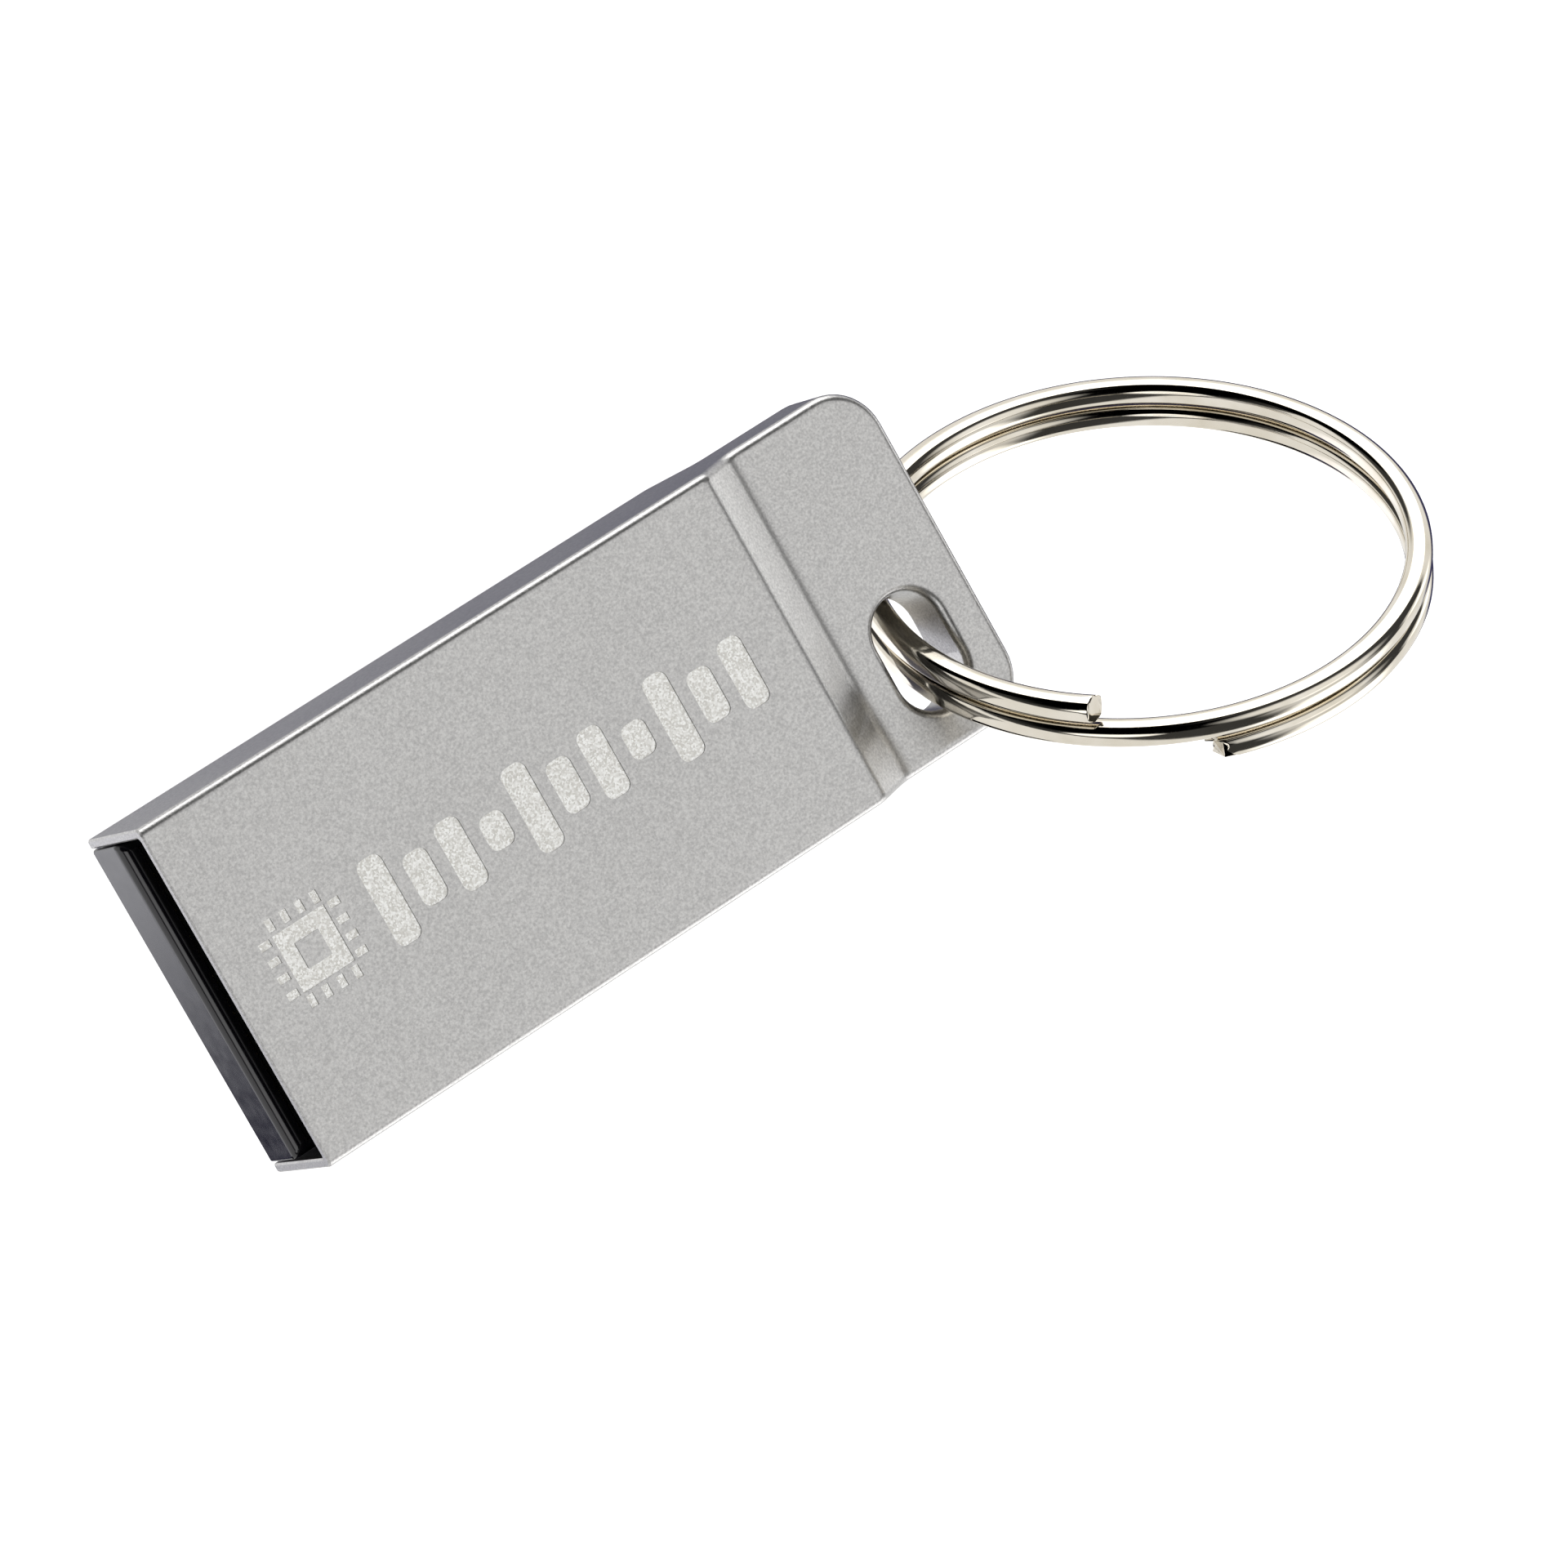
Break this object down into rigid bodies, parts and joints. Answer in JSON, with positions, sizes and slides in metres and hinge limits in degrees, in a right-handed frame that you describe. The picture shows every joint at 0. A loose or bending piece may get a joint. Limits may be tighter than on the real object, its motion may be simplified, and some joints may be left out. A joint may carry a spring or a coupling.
{
  "type": "usb flash drive",
  "caption": "Slim metal USB flash drive: flat housing open at the plug end, stepped-down tab with a slot, and a split key ring through it.",
  "frame": {"origin": "centre of the plug's mouth", "axes": "+X from the plug's mouth to the ring tab, +Z out of the etched front face, +Y across the housing"},
  "size_m": [0.0448, 0.0168, 0.0158],
  "materials": {
    "satin_metal": "bead-blasted satin",
    "black_plastic": "moulded, glossy black",
    "black_plastic_inner": "moulded, matt black",
    "clear_glue": "cured clear epoxy",
    "adhesive_film": "double-sided film",
    "laminate": "glass-filled laminate",
    "black_solder_mask": "printed mask, semi-gloss black",
    "green_solder_mask": "printed mask, semi-gloss green",
    "gold_plate": "gold-plated copper",
    "gold_wire": "drawn gold",
    "solder": "reflowed solder",
    "silicon": "polished silicon",
    "attach_film": "die-attach film",
    "crystal_can": "plated metal can",
    "capacitor_ceramic": "fired ceramic with tinned ends",
    "resistor_ceramic": "thick-film resistor with tinned ends",
    "epoxy_mould": "transfer-moulded epoxy",
    "polished_nickel": "bright nickel plate"
  },
  "bodies": {
    "drive": {"housing": "satin_metal", "module_carrier": "black_plastic", "rear_retainer": "black_plastic_inner", "glue_beads": "clear_glue", "module_adhesive": "adhesive_film", "laminate_core": "laminate", "contact_side_mask": "black_solder_mask", "chip_side_mask": "green_solder_mask", "contact_vbus": "gold_plate", "contact_data_minus": "gold_plate", "contact_data_plus": "gold_plate", "contact_ground": "gold_plate", "bond_fingers": "gold_plate", "bond_wires": "gold_wire", "solder_joints": "solder", "controller_die": "silicon", "flash_die_lower": "silicon", "flash_die_upper": "silicon", "controller_attach_film": "attach_film", "flash_attach_film_lower": "attach_film", "flash_attach_film_upper": "attach_film", "clock_crystal": "crystal_can", "capacitors": "capacitor_ceramic", "resistors": "resistor_ceramic", "mould_cap": "epoxy_mould"},
    "ring": {"key_ring": "polished_nickel"}
  },
  "joints": [
    {"name": "ring_swing", "type": "hinge", "parent": "drive", "child": "ring", "pos_m": [0.02645, -0.00268, 0.00005], "axis": [0.1403, 0.5755, -0.8057], "range_deg": [-100, 120]}
  ]
}
